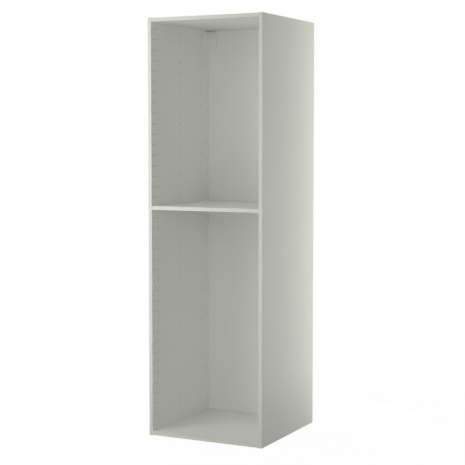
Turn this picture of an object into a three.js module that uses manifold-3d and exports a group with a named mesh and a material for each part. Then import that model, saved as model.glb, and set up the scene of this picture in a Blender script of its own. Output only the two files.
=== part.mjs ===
// Tall open cabinet carcass of a fitted kitchen: two drilled side panels, a top, a bottom and one fixed
// shelf between them, a two-piece back in grooves, and the knock-down fittings that hold it together.
// Millimetres, +Z up. The origin is on the floor at the middle of the footprint, and the open front faces -Y.

import * as THREE from 'three';
import { mergeVertices } from 'three/addons/utils/BufferGeometryUtils.js';
import Module from 'manifold-3d';

const wasm = await Module();
wasm.setup();

// Overall size and boards
const cabinetWidth = 600;
const cabinetDepth = 600;
const cabinetHeight = 2000;
const boardThickness = 18;
const endPanelInset = 1.5;
const bandThickness = 1;
const bandEase = 0.4;

// Seating clearance, and how far a cut runs past the face that it opens
const seatGap = 0.3;
const cutOverrun = 2;

// Sides of the facets that stand for round holes, pins and bends
const holeSides = 6;
const bendSides = 3;

// Back panels, their grooves and the strip that joins them behind the shelf
const backThickness = 3;
const backSetback = 17;
const grooveDepth = 8;
const grooveEndPlay = 1;
const stripWall = 1;
const stripFlangeHeight = 15;

// System holes in the sides
const pinHoleRadius = 2.5;
const pinHoleDepth = 12;
const pinRowPitch = 50;
const firstPinRow = 50;
const shelfRowIndex = 21;
const frontColumn = 20;
const hingeColumn = 52;
const rearColumnFromRear = 96;

// Hanger brackets, the hole pattern that takes their screws, and their covers
const bracketHoleFromBack = 28;
const bracketTipHoleFromBack = 10;
const bracketHoleFromEnd = 45;
const bracketHolePitch = 32;
const bracketSteel = 2;
const bracketBendRadius = 3;
const bracketSideWing = 46;
const bracketBackWing = 45;
const bracketHeight = 66;
const wallSlotWidth = 9;
const wallSlotHeight = 26;
const wallSlotFromSide = 26;
const backSlotMargin = 3;
const screwHeadRadius = 4;
const screwHeadHeight = 2;
const coverSideWing = 52;
const coverBackWing = 51;
const coverHeight = 78;
const coverTopGap = 5.5;
const coverProjection = 8;
const coverWall = 1.6;
const coverEase = 2;
const coverPegRadius = 2;
const coverPegOffset = 26;

// Cams, their bolts and the dowels
const camRadius = 7.1;
const camPocketRadius = 7.5;
const camSetback = 34;
const camHeight = 12.2;
const camPocketDepth = 13;
const camSides = 12;
const camPocketSides = 16;
const camTurn = Math.PI;
const camLockedWallRadius = 5.1;
const camOpenWallRadius = 5.9;
const camDriveLength = 8;
const camDriveWidth = 1.6;
const camDriveDepth = 2.5;
const boltBoreRadius = 4;
const boltCollarRadius = 3.4;
const boltCollarLength = 2;
const boltShankRadius = 2.6;
const boltNeckRadius = 1.6;
const boltHeadRadius = 2.8;
const boltThreadLength = 11;
const dowelRadius = 4;
const dowelLength = 30;
const dowelInSide = 10;
const dowelFromCam = 32;

// Places that follow from the sizes above
const halfWidth = cabinetWidth / 2;
const halfDepth = cabinetDepth / 2;
const innerHalfWidth = halfWidth - boardThickness;
const coreFront = -halfDepth + bandThickness;
const backInnerFace = halfDepth - backSetback;
const backInsertion = grooveDepth - grooveEndPlay;
const topPanelCentre = cabinetHeight - endPanelInset - boardThickness / 2;
const bottomPanelCentre = endPanelInset + boardThickness / 2;
const shelfCentre = firstPinRow + shelfRowIndex * pinRowPitch;
const shelfRear = backInnerFace - seatGap - stripWall - seatGap;
const rearColumn = cabinetDepth - rearColumnFromRear;
const middleColumn = (hingeColumn + rearColumn) / 2;
const camColumns = [hingeColumn, rearColumn];
const dowelColumns = [hingeColumn + dowelFromCam, rearColumn - dowelFromCam];
const pinRadius = pinHoleRadius - seatGap;
const bracketCentre = cabinetHeight - bracketHoleFromEnd - bracketHolePitch / 2;
const coverTop = topPanelCentre - boardThickness / 2 - coverTopGap;
const coverCentre = coverTop - coverHeight / 2;

const depthToY = (depth) => depth - halfDepth;

// Materials
const foil = new THREE.MeshStandardMaterial({ color: 0xdedfd6, roughness: 0.5, metalness: 0 });
const band = new THREE.MeshStandardMaterial({ color: 0xe6e7dd, roughness: 0.42, metalness: 0 });
const backFoil = new THREE.MeshStandardMaterial({ color: 0xdadbd2, roughness: 0.55, metalness: 0 });
const stripPlastic = new THREE.MeshStandardMaterial({ color: 0xe2e2da, roughness: 0.45, metalness: 0 });
const coverPlastic = new THREE.MeshStandardMaterial({ color: 0xe4e4dc, roughness: 0.4, metalness: 0 });
const zincSteel = new THREE.MeshStandardMaterial({ color: 0xb4b7b8, roughness: 0.35, metalness: 0.9 });
const camZinc = new THREE.MeshStandardMaterial({ color: 0x9c9fa1, roughness: 0.4, metalness: 0.85 });
const beech = new THREE.MeshStandardMaterial({ color: 0xc9a373, roughness: 0.7, metalness: 0 });

// Turns a closed three.js geometry into a solid that can be cut and joined
function solidOf(geometry) {
  const bare = geometry.index ? geometry.toNonIndexed() : geometry;
  bare.deleteAttribute('normal');
  bare.deleteAttribute('uv');
  const merged = mergeVertices(bare);
  const corners = merged.index.array;
  const triVerts = [];
  for (let first = 0; first < corners.length; first += 3) {
    const [a, b, c] = corners.subarray(first, first + 3);
    if (a !== b && b !== c && c !== a) {
      triVerts.push(a, b, c);
    }
  }
  const mesh = new wasm.Mesh({
    numProp: 3,
    vertProperties: new Float32Array(merged.attributes.position.array),
    triVerts: new Uint32Array(triVerts),
  });
  return new wasm.Manifold(mesh);
}

// Turns a solid back into a three.js geometry
function geometryOf(solid) {
  const { vertProperties, triVerts, numProp } = solid.getMesh();
  const positions = new Float32Array((vertProperties.length / numProp) * 3);
  for (let vertex = 0; vertex < vertProperties.length / numProp; vertex += 1) {
    positions.set(vertProperties.subarray(vertex * numProp, vertex * numProp + 3), vertex * 3);
  }
  const geometry = new THREE.BufferGeometry();
  geometry.setAttribute('position', new THREE.BufferAttribute(positions, 3));
  geometry.setIndex(new THREE.BufferAttribute(new Uint32Array(triVerts), 1));
  return geometry;
}

// A rectangular block between two corners
function block(x0, x1, y0, y1, z0, z1) {
  const geometry = new THREE.BoxGeometry(Math.abs(x1 - x0), Math.abs(y1 - y0), Math.abs(z1 - z0));
  geometry.translate((x0 + x1) / 2, (y0 + y1) / 2, (z0 + z1) / 2);
  return solidOf(geometry);
}

// A round rod along Z from z0 to z1, with a corner on the X axis
function rodGeometry(radius, sides, z0, z1) {
  const corners = Array.from({ length: sides }, (unused, corner) => {
    const angle = (corner / sides) * 2 * Math.PI;
    return new THREE.Vector2(radius * Math.cos(angle), radius * Math.sin(angle));
  });
  const depth = Math.abs(z1 - z0);
  const geometry = new THREE.ExtrudeGeometry(new THREE.Shape(corners), { depth, bevelEnabled: false });
  return geometry.translate(0, 0, Math.min(z0, z1));
}

function rodAlongX(radius, sides, x0, x1, y, z) {
  return solidOf(rodGeometry(radius, sides, x0, x1).rotateY(Math.PI / 2).translate(0, y, z));
}

function rodAlongY(radius, sides, x, y0, y1, z) {
  return solidOf(rodGeometry(radius, sides, -y0, -y1).rotateX(Math.PI / 2).translate(x, 0, z));
}

function rodAlongZ(radius, sides, x, y, z0, z1) {
  return solidOf(rodGeometry(radius, sides, z0, z1).translate(x, y, 0));
}

// A flat outline in X and Y, raised from z0 to z1
function plate(points, z0, z1) {
  const outline = new THREE.Shape(points.map(([x, y]) => new THREE.Vector2(x, y)));
  const geometry = new THREE.ExtrudeGeometry(outline, { depth: z1 - z0, bevelEnabled: false });
  geometry.translate(0, 0, z0);
  return solidOf(geometry);
}

// An upright slot with round ends, cut along Y
function slotAlongY(width, height, x, y0, y1, z) {
  const radius = width / 2;
  const straight = height / 2 - radius;
  const outline = new THREE.Shape();
  outline.absarc(0, straight, radius, 0, Math.PI, false);
  outline.absarc(0, -straight, radius, Math.PI, 2 * Math.PI, false);
  const geometry = new THREE.ExtrudeGeometry(outline, {
    depth: Math.abs(y1 - y0),
    bevelEnabled: false,
    curveSegments: bendSides,
  });
  geometry.rotateX(Math.PI / 2);
  geometry.translate(x, Math.max(y0, y1), z);
  return solidOf(geometry);
}

// Joins a list of solids into one tool
function joined(solids) {
  return solids.reduce((sum, solid) => sum.add(solid));
}

function piece(name, geometry, material, x = 0, y = 0, z = 0) {
  const mesh = new THREE.Mesh(geometry, material);
  mesh.name = name;
  mesh.position.set(x, y, z);
  return mesh;
}

// The three holes of a hanger bracket, as [y, z] places on the side's inner face; up is 1 at the top of
// the side and -1 at its bottom, where the same pattern stays empty
function bracketHoles(up) {
  const nearEnd = up > 0 ? cabinetHeight - bracketHoleFromEnd : bracketHoleFromEnd;
  const farther = nearEnd - up * bracketHolePitch;
  return [
    [backInnerFace - bracketHoleFromBack, nearEnd],
    [backInnerFace - bracketHoleFromBack, farther],
    [backInnerFace - bracketTipHoleFromBack, (nearEnd + farther) / 2],
  ];
}

// Every system hole of a side, as [y, z] places: four columns on one row pitch
function systemHoles() {
  const holes = [];
  for (let z = firstPinRow; z <= cabinetHeight - firstPinRow; z += pinRowPitch) {
    for (const column of [frontColumn, hingeColumn, middleColumn, rearColumn]) {
      holes.push([depthToY(column), z]);
    }
  }
  return holes;
}

// A side panel; hand is -1 for the left and 1 for the right. Its inner face is at x = 0, its foot at z = 0
function sidePanel(hand) {
  const board = block(0, hand * boardThickness, coreFront, halfDepth, 0, cabinetHeight);
  const pinHole = ([y, z]) =>
    rodAlongX(pinHoleRadius, holeSides, -hand * cutOverrun, hand * pinHoleDepth, y, z);
  const dowelHole = ([y, z]) =>
    rodAlongX(dowelRadius + seatGap, holeSides, -hand * cutOverrun, hand * (dowelInSide + seatGap), y, z);
  const endBoltPlaces = camColumns.flatMap((column) => [
    [depthToY(column), topPanelCentre],
    [depthToY(column), bottomPanelCentre],
  ]);
  const dowelPlaces = dowelColumns.flatMap((column) => [
    [depthToY(column), topPanelCentre],
    [depthToY(column), shelfCentre],
    [depthToY(column), bottomPanelCentre],
  ]);
  const pinPlaces = [...systemHoles(), ...bracketHoles(1), ...bracketHoles(-1), ...endBoltPlaces];
  const groove = block(
    -hand * cutOverrun,
    hand * grooveDepth,
    backInnerFace - seatGap,
    backInnerFace + backThickness + seatGap,
    -cutOverrun,
    cabinetHeight + cutOverrun,
  );
  const holes = joined([...pinPlaces.map(pinHole), ...dowelPlaces.map(dowelHole)]);
  return geometryOf(board.subtract(holes).subtract(groove));
}

// The cuts that a crossing panel gets at both ends for its cams, bolts and dowels. The panel is centred
// on the origin; face is 1 where the cams open on its upper face and -1 where they open underneath
function endCuts(face) {
  const half = boardThickness / 2;
  const cuts = [];
  for (const hand of [-1, 1]) {
    const end = hand * innerHalfWidth;
    const camX = end - hand * camSetback;
    for (const column of camColumns) {
      const y = depthToY(column);
      const mouth = face * (half + cutOverrun);
      const bottom = face * (half - camPocketDepth);
      cuts.push(rodAlongZ(camPocketRadius, camPocketSides, camX, y, bottom, mouth));
      cuts.push(rodAlongX(boltBoreRadius, holeSides, end + hand * cutOverrun, camX, y, 0));
    }
    for (const column of dowelColumns) {
      const bottom = end - hand * (dowelLength - dowelInSide + seatGap);
      cuts.push(
        rodAlongX(dowelRadius + seatGap, holeSides, end + hand * cutOverrun, bottom, depthToY(column), 0),
      );
    }
  }
  return joined(cuts);
}

// A panel between the sides; grooved is 1 for a groove in its upper face, -1 underneath and 0 for none
function crossPanel(rear, face, grooved) {
  const half = boardThickness / 2;
  const board = block(-innerHalfWidth, innerHalfWidth, coreFront, rear, -half, half);
  const drilled = board.subtract(endCuts(face));
  if (grooved === 0) {
    return geometryOf(drilled);
  }
  const groove = block(
    -innerHalfWidth - cutOverrun,
    innerHalfWidth + cutOverrun,
    backInnerFace - seatGap,
    backInnerFace + backThickness + seatGap,
    grooved * (half - grooveDepth),
    grooved * (half + cutOverrun),
  );
  return geometryOf(drilled.subtract(groove));
}

// The plastic band on a front edge, with its two long front edges eased. It runs along Z from 0 to length
function frontBand(length) {
  const half = boardThickness / 2;
  const outline = [
    [-half, bandThickness],
    [-half, bandEase],
    [-half + bandEase, 0],
    [half - bandEase, 0],
    [half, bandEase],
    [half, bandThickness],
  ];
  return plate(outline, 0, length);
}

function uprightBand() {
  return geometryOf(frontBand(cabinetHeight));
}

function crossBand() {
  const geometry = geometryOf(frontBand(2 * innerHalfWidth));
  geometry.translate(0, 0, -innerHalfWidth);
  geometry.rotateY(Math.PI / 2);
  return geometry;
}

// A back panel from one height to another; the upper one has the slots that the wall bolts pass through
function backPanel(bottom, top, slotHands) {
  const reach = innerHalfWidth + backInsertion;
  let sheet = block(-reach, reach, backInnerFace, backInnerFace + backThickness, bottom, top);
  for (const hand of slotHands) {
    sheet = sheet.subtract(
      slotAlongY(
        wallSlotWidth + 2 * backSlotMargin,
        wallSlotHeight + 2 * backSlotMargin,
        hand * (innerHalfWidth - wallSlotFromSide),
        backInnerFace - cutOverrun,
        backInnerFace + backThickness + cutOverrun,
        bracketCentre,
      ),
    );
  }
  return geometryOf(sheet);
}

// The H section that joins the two back panels; its web lies at z = 0
function jointStrip() {
  const reach = innerHalfWidth - seatGap;
  const slot = backThickness + 2 * seatGap;
  const front = backInnerFace - seatGap - stripWall;
  const rear = front + stripWall + slot + stripWall;
  const outer = block(-reach, reach, front, rear, -stripFlangeHeight / 2, stripFlangeHeight / 2);
  const slotFor = (up) =>
    block(
      -reach - cutOverrun,
      reach + cutOverrun,
      front + stripWall,
      rear - stripWall,
      (up * stripWall) / 2,
      up * (stripFlangeHeight / 2 + cutOverrun),
    );
  return geometryOf(outer.subtract(slotFor(1)).subtract(slotFor(-1)));
}

// A steel angle in the corner between a side and the back. The corner is at x = 0, y = 0
function hangerBracket(hand) {
  const outerBend = bracketBendRadius;
  const innerBend = bracketBendRadius - bracketSteel;
  const outline = new THREE.Shape();
  outline.moveTo(0, -bracketSideWing);
  outline.lineTo(0, -outerBend);
  outline.absarc(-outerBend, -outerBend, outerBend, 0, Math.PI / 2, false);
  outline.lineTo(-bracketBackWing, 0);
  outline.lineTo(-bracketBackWing, -bracketSteel);
  outline.lineTo(-outerBend, -bracketSteel);
  outline.absarc(-outerBend, -outerBend, innerBend, Math.PI / 2, 0, true);
  outline.lineTo(-bracketSteel, -bracketSideWing);
  const points = outline.getPoints(bendSides).map(({ x, y }) => [hand * x, y]);
  let angle = plate(points, -bracketHeight / 2, bracketHeight / 2);
  for (const [y, z] of bracketHoles(1)) {
    angle = angle.subtract(
      rodAlongX(
        pinHoleRadius,
        holeSides,
        -hand * (bracketSteel + cutOverrun),
        hand * cutOverrun,
        y - backInnerFace,
        z - bracketCentre,
      ),
    );
  }
  angle = angle.subtract(
    slotAlongY(
      wallSlotWidth,
      wallSlotHeight,
      -hand * wallSlotFromSide,
      -bracketSteel - cutOverrun,
      cutOverrun,
      0,
    ),
  );
  for (const up of [-1, 1]) {
    angle = angle.subtract(
      rodAlongY(
        coverPegRadius + seatGap,
        holeSides,
        -hand * wallSlotFromSide,
        -bracketSteel - cutOverrun,
        cutOverrun,
        up * coverPegOffset,
      ),
    );
  }
  return geometryOf(angle);
}

// A bracket screw along X, with its head on the bracket's face and its shank in the side. The side's
// inner face is at x = 0
function bracketScrew(hand) {
  const face = -hand * bracketSteel;
  const headTop = face - hand * screwHeadHeight;
  const shank = rodAlongX(pinRadius, holeSides, headTop, hand * (pinHoleDepth - seatGap), 0, 0);
  return geometryOf(rodAlongX(screwHeadRadius, holeSides, face, headTop, 0, 0).add(shank));
}

// The L-shaped plastic cover over a bracket: an open-backed shell with two pegs that clip into the
// bracket's back wing. The corner is at x = 0, y = 0
function hangerCover(hand) {
  const shellOutline = (inset, backEdge) => [
    [-hand * backEdge, -coverSideWing + inset],
    [-hand * (coverProjection - coverEase), -coverSideWing + inset],
    [-hand * (coverProjection - inset), -coverSideWing + coverEase],
    [-hand * (coverProjection - inset), -coverProjection + inset],
    [-hand * (coverBackWing - coverEase), -coverProjection + inset],
    [-hand * (coverBackWing - inset), -coverProjection + coverEase],
    [-hand * (coverBackWing - inset), -backEdge],
    [-hand * backEdge, -backEdge],
  ];
  const half = coverHeight / 2;
  const outer = plate(shellOutline(0, seatGap), -half, half);
  const inner = plate(shellOutline(coverWall, -cutOverrun), -half + coverWall, half - coverWall);
  let shell = outer.subtract(inner);
  for (const up of [-1, 1]) {
    shell = shell.add(
      rodAlongY(
        coverPegRadius,
        holeSides,
        -hand * wallSlotFromSide,
        -coverProjection + coverWall / 2,
        -seatGap,
        up * coverPegOffset + bracketCentre - coverCentre,
      ),
    );
  }
  return geometryOf(shell);
}

// Points on an arc about the origin; radiusAt gives the radius for each share of the arc
function arcPoints(from, to, steps, radiusAt) {
  return Array.from({ length: steps + 1 }, (unused, step) => {
    const share = step / steps;
    const angle = from + (to - from) * share;
    return [radiusAt(share) * Math.cos(angle), radiusAt(share) * Math.sin(angle)];
  });
}

// A zinc cam, locked, with its drive on its upper face and the bolt coming in from +X along z = 0. The
// chamber behind the drive is open below, and its wall draws in on a spiral, so that half a turn pulls
// the bolt's head. The neck runs in a slot through that wall, which ends in a mouth as wide as the head
function cam() {
  const top = boardThickness / 2 - seatGap;
  const bottom = top - camHeight;
  const ceiling = boltHeadRadius + seatGap;
  const floor = bottom - cutOverrun;
  const disc = rodAlongZ(camRadius, camSides, 0, 0, bottom, top);
  const spiral = (share) => camOpenWallRadius + (camLockedWallRadius - camOpenWallRadius) * share;
  const chamberOutline = [
    ...arcPoints(-camTurn, 0, camSides / 2, spiral),
    ...arcPoints(0, camTurn, camSides / 2, () => camLockedWallRadius).slice(1, -1),
  ];
  const neckHalf = boltNeckRadius + seatGap;
  const neckAngle = Math.asin(neckHalf / camLockedWallRadius);
  const slotReach = camRadius + cutOverrun;
  const neckSlot = plate(
    [[0, 0], ...arcPoints(-camTurn, neckAngle, camSides / 2, () => slotReach)],
    -neckHalf,
    neckHalf,
  );
  const mouthHalf = boltHeadRadius + seatGap;
  const mouth = block(-slotReach, 0, -mouthHalf, mouthHalf, floor, mouthHalf);
  const drive = (length, width) =>
    block(-length / 2, length / 2, -width / 2, width / 2, top - camDriveDepth, top + cutOverrun);
  return geometryOf(
    disc
      .subtract(plate(chamberOutline, floor, ceiling))
      .subtract(neckSlot)
      .subtract(mouth)
      .subtract(drive(camDriveLength, camDriveWidth))
      .subtract(drive(camDriveWidth, camDriveLength)),
  );
}

// A cam bolt along +X: x = 0 is the side's inner face, the thread goes into the side and the ball head
// lies in the cam
function camBolt() {
  const headCentre = camSetback - (camLockedWallRadius - seatGap - boltHeadRadius);
  const neckEnd = headCentre - Math.sqrt(boltHeadRadius ** 2 - boltNeckRadius ** 2);
  const shankEnd = camSetback - camPocketRadius - seatGap;
  const profile = [
    [0, -boltThreadLength],
    [pinRadius, -boltThreadLength],
    [pinRadius, 0],
    [boltCollarRadius, 0],
    [boltCollarRadius, boltCollarLength],
    [boltShankRadius, boltCollarLength],
    [boltShankRadius, shankEnd],
    [boltNeckRadius, shankEnd],
    [boltNeckRadius, neckEnd],
    [boltHeadRadius, headCentre],
    [0, headCentre + boltHeadRadius],
  ];
  const points = profile.map(([radius, along]) => new THREE.Vector2(radius, along));
  const geometry = new THREE.LatheGeometry(points, holeSides);
  geometry.rotateZ(-Math.PI / 2);
  return geometry;
}

function dowel() {
  return rodGeometry(dowelRadius, holeSides, -dowelInSide, dowelLength - dowelInSide).rotateY(Math.PI / 2);
}

// Boards
const carcass = new THREE.Group();
const topPanelTop = topPanelCentre + boardThickness / 2;
const bottomPanelFloor = bottomPanelCentre - boardThickness / 2;
carcass.add(
  piece('left_side_panel', sidePanel(-1), foil, -innerHalfWidth),
  piece('right_side_panel', sidePanel(1), foil, innerHalfWidth),
  piece('top_panel', crossPanel(halfDepth, 1, -1), foil, 0, 0, topPanelCentre),
  piece('bottom_panel', crossPanel(halfDepth, -1, 1), foil, 0, 0, bottomPanelCentre),
  piece('fixed_shelf', crossPanel(shelfRear, -1, 0), foil, 0, 0, shelfCentre),
);

// Front edge bands
const uprightBandX = innerHalfWidth + boardThickness / 2;
carcass.add(
  piece('left_side_edge_band', uprightBand(), band, -uprightBandX, -halfDepth),
  piece('right_side_edge_band', uprightBand(), band, uprightBandX, -halfDepth),
  piece('top_edge_band', crossBand(), band, 0, -halfDepth, topPanelCentre),
  piece('bottom_edge_band', crossBand(), band, 0, -halfDepth, bottomPanelCentre),
  piece('shelf_edge_band', crossBand(), band, 0, -halfDepth, shelfCentre),
);

// Back
const backTop = topPanelTop - boardThickness + backInsertion;
const backBottom = bottomPanelFloor + boardThickness - backInsertion;
const webClearance = stripWall / 2 + seatGap;
carcass.add(
  piece('upper_back_panel', backPanel(shelfCentre + webClearance, backTop, [-1, 1]), backFoil),
  piece('lower_back_panel', backPanel(backBottom, shelfCentre - webClearance, []), backFoil),
  piece('back_joint_strip', jointStrip(), stripPlastic, 0, 0, shelfCentre),
);

// Hanger brackets in the top rear corners, each with its screws and its cover
const hangers = new THREE.Group();
hangers.position.set(0, backInnerFace, 0);
const flanks = [
  { side: 'left', hand: -1 },
  { side: 'right', hand: 1 },
];
for (const { side, hand } of flanks) {
  const corner = new THREE.Group();
  corner.position.set(hand * innerHalfWidth, 0, 0);
  corner.add(
    piece(`${side}_hanger_bracket`, hangerBracket(hand), zincSteel, 0, 0, bracketCentre),
    piece(`${side}_hanger_cover`, hangerCover(hand), coverPlastic, 0, 0, coverCentre),
  );
  const screwNames = ['upper', 'lower', 'rear'];
  bracketHoles(1).forEach(([y, z], screw) => {
    const name = `${side}_bracket_${screwNames[screw]}_screw`;
    corner.add(piece(name, bracketScrew(hand), zincSteel, 0, y - backInnerFace, z));
  });
  hangers.add(corner);
}

// Knock-down fittings: at each end of the three crossing panels a front and a rear cam, each with its
// bolt, and two dowels
const fittings = new THREE.Group();
const camShape = cam();
const boltShape = camBolt();
const dowelShape = dowel();
const levels = [
  { level: 'top', centre: topPanelCentre, face: 1 },
  { level: 'shelf', centre: shelfCentre, face: -1 },
  { level: 'bottom', centre: bottomPanelCentre, face: -1 },
];
const stations = [
  { place: 'front', camDepth: camColumns[0], dowelDepth: dowelColumns[0] },
  { place: 'rear', camDepth: camColumns[1], dowelDepth: dowelColumns[1] },
];

// A frame on a side's inner face, with X into the panel and Z out of the face that its cams open on
function panelEnd(hand, face, depth, z) {
  const frame = new THREE.Group();
  frame.position.set(hand * innerHalfWidth, depthToY(depth), z);
  frame.rotation.set(face > 0 ? 0 : Math.PI, 0, hand > 0 ? Math.PI : 0);
  return frame;
}

for (const { level, centre, face } of levels) {
  for (const { side, hand } of flanks) {
    for (const { place, camDepth, dowelDepth } of stations) {
      const name = `${level}_${place}_${side}`;
      const camEnd = panelEnd(hand, face, camDepth, centre);
      const lockedCam = piece(`${name}_cam`, camShape, camZinc, camSetback);
      lockedCam.rotation.z = Math.PI;
      camEnd.add(lockedCam, piece(`${name}_cam_bolt`, boltShape, zincSteel));
      const dowelEnd = panelEnd(hand, face, dowelDepth, centre);
      dowelEnd.add(piece(`${name}_dowel`, dowelShape, beech));
      fittings.add(camEnd, dowelEnd);
    }
  }
}

const cabinet = new THREE.Group();
cabinet.add(carcass, hangers, fittings);

export default cabinet;
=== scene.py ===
"""A tall open cabinet carcass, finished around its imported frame.

Two drilled sides, a top, a bottom and one fixed shelf are white foiled chipboard with plastic front
bands. A two-piece back stands in grooves. Turning cams, their bolts and dowels hold the boards
together, and two steel brackets under plastic covers hold the cabinet to a wall. Metres, +Z up, the
open front faces -Y.
"""

from __future__ import annotations

import logging
import math
from collections.abc import Callable, Iterable, Mapping, Sequence
from dataclasses import dataclass
from enum import Enum
from functools import cache, cached_property
from typing import NamedTuple

import bmesh
import bpy
from mathutils import Matrix, Vector


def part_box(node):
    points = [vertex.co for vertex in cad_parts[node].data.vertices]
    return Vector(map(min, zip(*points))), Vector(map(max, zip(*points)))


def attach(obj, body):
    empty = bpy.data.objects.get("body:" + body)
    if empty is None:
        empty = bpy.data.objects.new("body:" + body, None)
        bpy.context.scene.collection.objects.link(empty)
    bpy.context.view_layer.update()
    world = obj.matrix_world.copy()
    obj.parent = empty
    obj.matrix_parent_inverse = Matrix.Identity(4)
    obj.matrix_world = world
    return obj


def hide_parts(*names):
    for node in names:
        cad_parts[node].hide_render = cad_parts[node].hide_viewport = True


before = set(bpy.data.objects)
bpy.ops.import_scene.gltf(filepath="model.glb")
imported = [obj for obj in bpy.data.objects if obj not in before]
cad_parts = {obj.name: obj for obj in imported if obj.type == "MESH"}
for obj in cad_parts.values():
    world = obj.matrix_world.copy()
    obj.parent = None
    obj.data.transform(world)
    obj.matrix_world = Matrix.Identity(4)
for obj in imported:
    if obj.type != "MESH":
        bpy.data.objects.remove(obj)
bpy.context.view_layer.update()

log = logging.getLogger("cabinet")

Colour = tuple[float, float, float]
Point = tuple[float, float]
# One size, or sizes along X, Y and Z.
Grain = float | Sequence[float]

# A cutting tool reaches this far past the face that it cuts.
OVERRUN = 0.002
# Places closer than this are the same place.
NEAR = 1e-6
WHITE = (1.0, 1.0, 1.0)
# The wall bolts' slots in the back and in the brackets are this far from the side.
SLOT_FROM_SIDE = 0.026
# The cams' pockets in the boards, which the bolts' shanks stop short of.
POCKET_RADIUS = 0.0075


class Axis(Enum):
    """A main direction of the cabinet."""

    X = 0
    Y = 1
    Z = 2


class Hand(Enum):
    """A side of the cabinet, as the sign of its X."""

    LEFT = -1
    RIGHT = 1

    @property
    def word(self) -> str:
        """The side's name as the frame's nodes spell it."""
        return self.name.lower()

    @property
    def panel(self) -> str:
        """The name of the side panel's node."""
        return f"{self.word}_side_panel"

    @property
    def screws(self) -> list[str]:
        """The names of the nodes of the bracket's screws on this side."""
        return [f"{self.word}_bracket_{which}_screw" for which in ("upper", "lower", "rear")]

    @property
    def face(self) -> float:
        """Where the side's inner face is in X."""
        side = box_of(self.panel)
        return side.low.x if self is Hand.RIGHT else side.high.x

    @property
    def slot(self) -> float:
        """Where the middle of the wall bolt's slot on this side is in X."""
        return self.face - self.value * SLOT_FROM_SIDE


class Level(Enum):
    """A board that crosses from side to side."""

    TOP = "top"
    SHELF = "shelf"
    BOTTOM = "bottom"

    @property
    def node(self) -> str:
        """The name of the board's node."""
        return "fixed_shelf" if self is Level.SHELF else f"{self.value}_panel"

    @property
    def facing(self) -> int:
        """1 where the cams open upwards and -1 where they open underneath."""
        return 1 if self is Level.TOP else -1


class Station(Enum):
    """Where along the depth a fitting sits."""

    FRONT = "front"
    REAR = "rear"


class Sheet(Enum):
    """One of the two sheets of the back."""

    UPPER = "upper"
    LOWER = "lower"


class Working(Enum):
    """What a tool does to the piece it meets."""

    CUT = "DIFFERENCE"
    JOIN = "UNION"


class Plane(NamedTuple):
    """A plane that is square to an axis."""

    axis: Axis
    place: float

    def holds(self, edge: bmesh.types.BMEdge) -> bool:
        """Tells whether both ends of an edge are on the plane."""
        return all(abs(vertex.co[self.axis.value] - self.place) < NEAR for vertex in edge.verts)


class Box(NamedTuple):
    """The lowest and the highest corner of a piece at rest."""

    low: Vector
    high: Vector

    @property
    def centre(self) -> Vector:
        """The middle of the box."""
        return (self.low + self.high) / 2

    def span(self, axis: Axis) -> tuple[float, float]:
        """Where the box starts and ends on an axis."""
        return self.low[axis.value], self.high[axis.value]

    def planes(self, *axes: Axis) -> list[Plane]:
        """The planes of the box's faces that are square to the axes."""
        return [Plane(axis, place) for axis in axes for place in self.span(axis)]


@cache
def box_of(node: str) -> Box:
    """Reads a node's box from the frame."""
    return Box(*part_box(node))


def fitting(level: Level, at: Station, hand: Hand) -> str:
    """Spells what the names of a cam, its bolt and its dowel start with."""
    return f"{level.value}_{at.value}_{hand.word}"


class Wire:
    """An output socket that adds Math nodes when it is used in an expression."""

    def __init__(self, bench: Bench, socket: bpy.types.NodeSocket) -> None:
        """Wraps an output socket of the bench's tree."""
        self.bench = bench
        self.socket = socket

    def _math(self, operation: str, *terms: Wire | float) -> Wire:
        """Adds one Math node over the terms."""
        inputs = dict(enumerate(terms))
        return self.bench.node("ShaderNodeMath", inputs, operation=operation)["Value"]

    def __add__(self, other: Wire | float) -> Wire:
        """This plus another."""
        return self._math("ADD", self, other)

    def __radd__(self, other: float) -> Wire:
        """A number plus this."""
        return self._math("ADD", other, self)

    def __sub__(self, other: Wire | float) -> Wire:
        """This less another."""
        return self._math("SUBTRACT", self, other)

    def __rsub__(self, other: float) -> Wire:
        """A number less this."""
        return self._math("SUBTRACT", other, self)

    def __mul__(self, other: Wire | float) -> Wire:
        """This times another."""
        return self._math("MULTIPLY", self, other)

    def __rmul__(self, other: float) -> Wire:
        """A number times this."""
        return self._math("MULTIPLY", other, self)

    def __truediv__(self, other: Wire | float) -> Wire:
        """This over another."""
        return self._math("DIVIDE", self, other)

    def __rtruediv__(self, other: float) -> Wire:
        """A number over this."""
        return self._math("DIVIDE", other, self)

    def swing(self, span: float) -> Wire:
        """How far a pattern is from its middle, 0.5, times a span."""
        return (self - 0.5) * span

    def clipped(self) -> Wire:
        """This, held between 0 and 1."""
        return self._math("MINIMUM", self._math("MAXIMUM", self, 0.0), 1.0)


class Outlets:
    """A node's outputs, by identifier, name or number."""

    def __init__(self, bench: Bench, made: bpy.types.Node) -> None:
        """Wraps a node that the bench made."""
        self.bench = bench
        self.made = made

    def __getitem__(self, key: str | int) -> Wire:
        """The output of that name or number, ready for an expression."""
        return Wire(self.bench, Bench.socket(self.made.outputs, key))


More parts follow.
